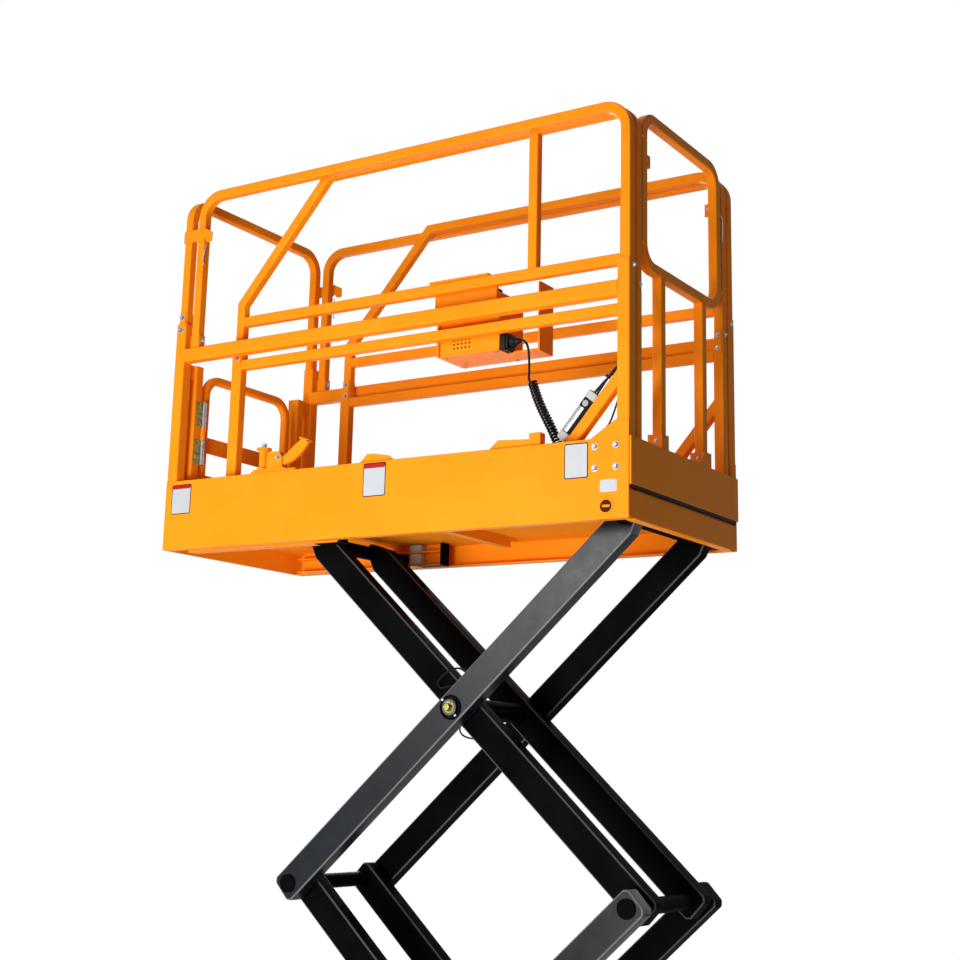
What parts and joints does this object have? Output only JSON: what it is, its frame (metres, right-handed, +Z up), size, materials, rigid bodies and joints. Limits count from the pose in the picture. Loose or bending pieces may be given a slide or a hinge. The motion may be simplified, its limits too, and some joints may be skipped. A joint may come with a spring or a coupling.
{
  "type": "self-propelled scissor lift",
  "caption": "Small self-propelled scissor lift: railed work platform with sliding extension deck on crossed scissor arms over a wheeled chassis.",
  "frame": {"origin": "centre of the bounding box at floor level, with the platform raised as it stands", "axes": "+X to the front, where the deck extends; +Y to the far side; +Z up"},
  "size_m": [1.69, 0.76, 3.5726],
  "materials": {
    "orange": "glossy orange paint",
    "black": "semi-gloss black paint",
    "zinc": "zinc plated",
    "steel": "grey painted steel",
    "chrome": "polished rod",
    "tyre": "grey non-marking rubber",
    "plastic": "black plastic",
    "clear": "clear plastic bottle"
  },
  "bodies": {
    "chassis": {"chassis_frame": "black", "chassis_spine": "black", "chassis_track_near": "black", "chassis_track_far": "black", "cabinet_near": "orange", "cabinet_far": "orange", "battery_block": "plastic", "power_unit_block": "steel", "steering_cylinder": "steel"},
    "door_near": {"cabinet_door_near": "orange"},
    "door_far": {"cabinet_door_far": "orange"},
    "knuckle_near": {"steering_knuckle_near": "black"},
    "knuckle_far": {"steering_knuckle_far": "black"},
    "wheel_front_near": {"tyre_front_near": "tyre", "rim_front_near": "steel"},
    "wheel_front_far": {"tyre_front_far": "tyre", "rim_front_far": "steel"},
    "wheel_rear_near": {"tyre_rear_near": "tyre", "rim_rear_near": "steel"},
    "wheel_rear_far": {"tyre_rear_far": "tyre", "rim_rear_far": "steel"},
    "lower_inner_arms": {"lower_inner_arm_near_with_shafts": "black", "lower_inner_arm_far": "black"},
    "lower_outer_arms": {"lower_outer_arm_near_with_shafts": "black", "lower_outer_arm_far": "black"},
    "upper_inner_arms": {"upper_inner_arm_near_with_shafts": "black", "upper_inner_arm_far": "black"},
    "upper_outer_arms": {"upper_outer_arm_near_with_shafts": "black", "upper_outer_arm_far": "black"},
    "cylinder_barrel": {"lift_cylinder_barrel": "steel"},
    "cylinder_rod": {"lift_cylinder_rod": "chrome"},
    "extension": {"extension_deck": "orange", "extension_toe_plate": "orange", "extension_lower_frame_near": "orange", "extension_lower_frame_far": "orange", "extension_upper_frame_near": "orange", "extension_upper_frame_far": "orange", "extension_end_loop": "orange", "control_box": "orange", "control_plug": "plastic", "control_box_bracket": "orange", "curly_cord_lead": "plastic", "curly_cord_coil": "plastic", "cord_gland": "plastic", "canister": "clear"},
    "gate": {"gate": "orange"},
    "platform": {"platform_deck": "orange", "platform_rear_end": "orange", "platform_front_lower_plate": "orange", "rear_end_frame": "orange", "skirt_near": "orange", "platform_track_near": "orange", "lower_side_frame_near": "orange", "upper_side_frame_near": "orange", "skirt_far": "orange", "platform_track_far": "orange", "lower_side_frame_far": "orange", "upper_side_frame_far": "orange", "foot_latch": "orange", "gate_hinges": "zinc"}
  },
  "joints": [
    {"name": "lift", "type": "hinge", "parent": "chassis", "child": "lower_inner_arms", "pos_m": [0.766, 0, 0.372], "axis": [0, 1, 0], "range_deg": [-38.1, 7.5]},
    {"name": "lower_cross_pivot", "type": "hinge", "parent": "lower_inner_arms", "child": "lower_outer_arms", "pos_m": [0.21393, 0, 0.87966], "axis": [0, 1, 0], "range_deg": [-15.3, 76.5]},
    {"name": "mid_pivot", "type": "hinge", "parent": "lower_outer_arms", "child": "upper_inner_arms", "pos_m": [0.766, 0, 1.38731], "axis": [0, 1, 0], "range_deg": [-76.5, 15.3]},
    {"name": "upper_cross_pivot", "type": "hinge", "parent": "upper_inner_arms", "child": "upper_outer_arms", "pos_m": [0.21393, 0, 1.89497], "axis": [0, 1, 0], "range_deg": [-15.3, 76.5]},
    {"name": "platform_pivot", "type": "hinge", "parent": "upper_outer_arms", "child": "platform", "pos_m": [0.766, 0, 2.40263], "axis": [0, 1, 0], "range_deg": [-38.4, 7.8]},
    {"name": "cylinder_foot", "type": "hinge", "parent": "chassis", "child": "cylinder_barrel", "pos_m": [0.1, 0, 0.38], "axis": [0, 1, 0], "range_deg": [-0.29, 1.05]},
    {"name": "cylinder_stroke", "type": "slide", "parent": "cylinder_barrel", "child": "cylinder_rod", "axis": [0.9759, 0, 0.2182], "range_m": [-0.10068, 0.02022]},
    {"name": "extension_slide", "type": "slide", "parent": "platform", "child": "extension", "axis": [1, 0, 0], "range_m": [0, 0.9]},
    {"name": "gate_hinge", "type": "hinge", "parent": "platform", "child": "gate", "pos_m": [-0.779, -0.251, 2.77063], "axis": [0, 0, -1], "range_deg": [0, 85], "stiffness_Nm_per_rad": 4, "springref_deg": -34.38},
    {"name": "door_near_hinge", "type": "hinge", "parent": "chassis", "child": "door_near", "pos_m": [-0.43, -0.38, 0.2], "axis": [0, 0, -1], "range_deg": [0, 100]},
    {"name": "door_far_hinge", "type": "hinge", "parent": "chassis", "child": "door_far", "pos_m": [-0.43, 0.38, 0.2], "axis": [0, 0, 1], "range_deg": [0, 100]},
    {"name": "steer_near", "type": "hinge", "parent": "chassis", "child": "knuckle_near", "pos_m": [0.61, -0.246, 0.2], "axis": [0, 0, 1], "range_deg": [-35, 35]},
    {"name": "steer_far", "type": "hinge", "parent": "chassis", "child": "knuckle_far", "pos_m": [0.61, 0.246, 0.2], "axis": [0, 0, 1], "range_deg": [-35.5, 35.5]},
    {"name": "roll_front_near", "type": "hinge", "parent": "knuckle_near", "child": "wheel_front_near", "pos_m": [0.61, -0.33, 0.15], "axis": [0, 1, 0], "continuous": true},
    {"name": "roll_front_far", "type": "hinge", "parent": "knuckle_far", "child": "wheel_front_far", "pos_m": [0.61, 0.33, 0.15], "axis": [0, 1, 0], "continuous": true},
    {"name": "roll_rear_near", "type": "hinge", "parent": "chassis", "child": "wheel_rear_near", "pos_m": [-0.61, -0.33, 0.15], "axis": [0, 1, 0], "continuous": true},
    {"name": "roll_rear_far", "type": "hinge", "parent": "chassis", "child": "wheel_rear_far", "pos_m": [-0.61, 0.33, 0.15], "axis": [0, 1, 0], "continuous": true}
  ],
  "couplings": [
    {"joint": "lower_cross_pivot", "follows": "lift", "ratio": -2},
    {"joint": "mid_pivot", "follows": "lift", "ratio": 2},
    {"joint": "upper_cross_pivot", "follows": "lift", "ratio": -2},
    {"joint": "platform_pivot", "follows": "lift", "ratio": 1},
    {"joint": "cylinder_foot", "follows": "lift", "ratio": -0.025},
    {"joint": "cylinder_stroke", "follows": "lift", "m_per_rad": 0.15065},
    {"joint": "steer_far", "follows": "steer_near", "ratio": 1}
  ]
}
